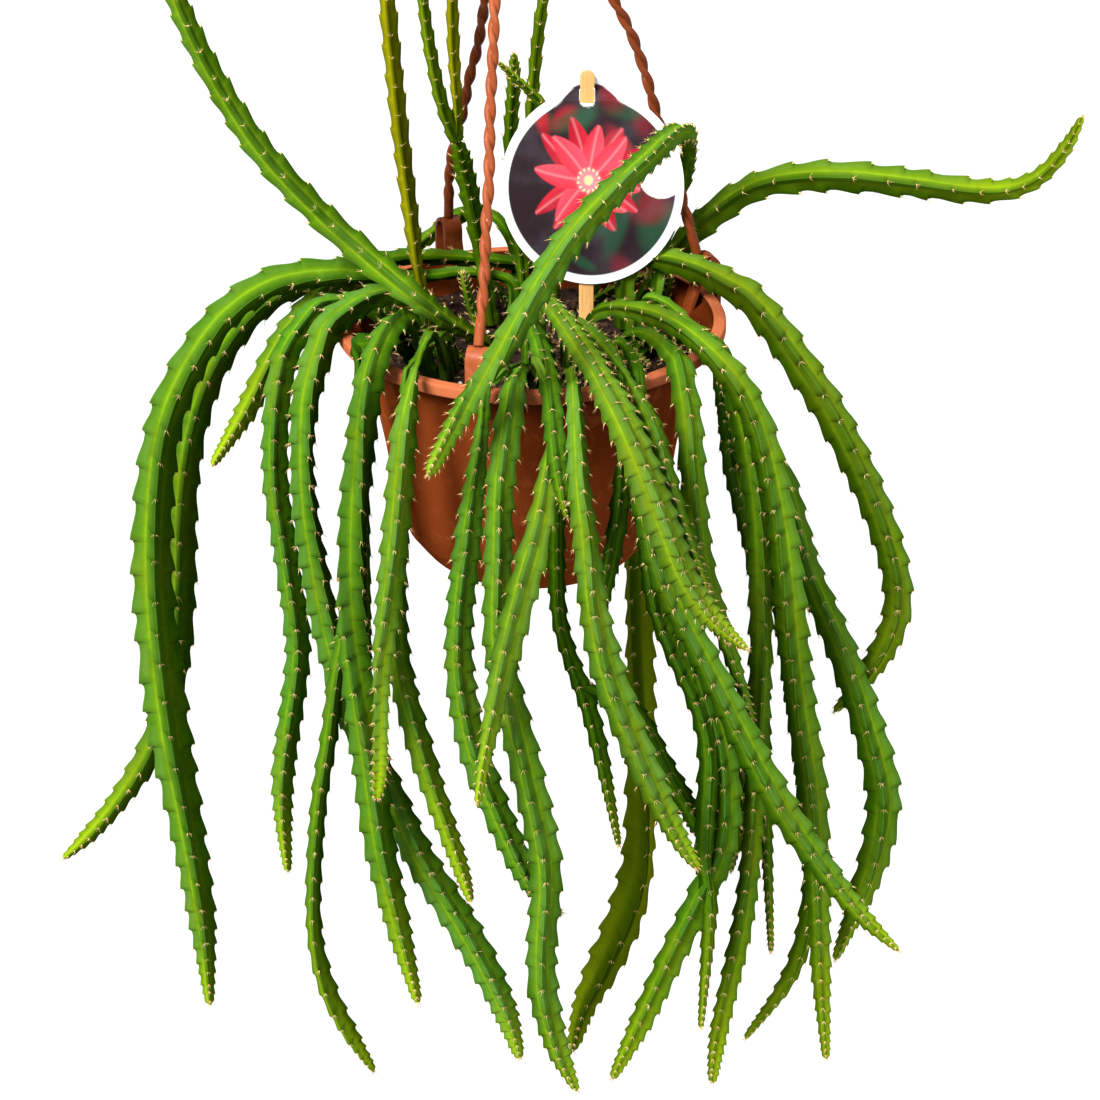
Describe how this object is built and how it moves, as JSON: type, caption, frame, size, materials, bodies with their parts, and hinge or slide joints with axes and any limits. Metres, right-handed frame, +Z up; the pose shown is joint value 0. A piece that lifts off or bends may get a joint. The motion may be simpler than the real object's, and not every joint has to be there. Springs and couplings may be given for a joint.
{
  "type": "hanging potted cactus",
  "caption": "Hanging plastic pot with twisted hanger arms, holding a trailing cactus with ribbed, spiny stems, peat soil and a round plant label on a stick.",
  "frame": {"origin": "where the rail sits inside the crown of the hanger's hook", "axes": "+Z up, -Y towards the viewer and the label's face, +X to the viewer's right"},
  "size_m": [0.4718, 0.2399, 0.748],
  "materials": {
    "stem_green": "satin waxy skin of a succulent",
    "stem_dark": "satin waxy skin, shaded",
    "stem_pale": "satin waxy skin with a pale bloom",
    "stem_olive": "satin waxy skin, yellowed",
    "pot_plastic": "satin",
    "hanger_plastic": "satin, moulded twist",
    "soil_peat": "loose peat with bark and perlite bits",
    "label_print": "printed sheet",
    "wood_stick": "sanded"
  },
  "bodies": {
    "root": {"stem_left_long_front": "stem_green", "stem_left_long_rear": "stem_green", "stem_left_short": "stem_green", "stem_left_middle": "stem_green", "stem_left_crossing": "stem_pale", "stem_left_broad": "stem_green", "stem_left_shaded": "stem_dark", "stem_left_low": "stem_green", "stem_front_left_blunt": "stem_pale", "stem_front_left_rear": "stem_green", "stem_rising_left": "stem_green", "stem_rising_olive": "stem_olive", "stem_rising_forked": "stem_dark", "stem_rising_tall": "stem_green", "stem_rising_short": "stem_green", "stem_rising_leaning": "stem_green", "stem_front_arching": "stem_green", "stem_right_reaching": "stem_green", "stem_right_arching": "stem_green", "stem_right_long": "stem_green", "stem_right_swelling": "stem_green", "stem_right_slender": "stem_green", "stem_front_right_diagonal": "stem_green", "stem_front_right_bright": "stem_pale", "stem_front_right_second": "stem_dark", "stem_front_right_narrow": "stem_green", "stem_right_hidden": "stem_dark", "stem_front_right_shaded": "stem_dark", "stem_back_broad": "stem_green", "stem_front_narrow": "stem_green", "stem_front_central": "stem_pale", "stem_front_dark": "stem_dark", "stem_front_inner": "stem_dark", "stem_front_pale": "stem_pale", "stem_front_long": "stem_pale", "stem_front_left_long": "stem_green", "stem_right_low_forked": "stem_green", "stem_back_arch": "stem_green", "shoot_centre": "stem_green", "shoot_on_soil": "stem_dark", "shoot_thin": "stem_green", "shoot_broad": "stem_dark", "shoot_small": "stem_dark", "shoot_short": "stem_green", "pot": "pot_plastic", "soil": "soil_peat", "hanger_hook": "hanger_plastic", "hanger_arm_front": "hanger_plastic", "hanger_arm_back_left": "hanger_plastic", "hanger_arm_right": "hanger_plastic", "label_plate": "label_print", "label_stick": "wood_stick"}
  },
  "joints": []
}
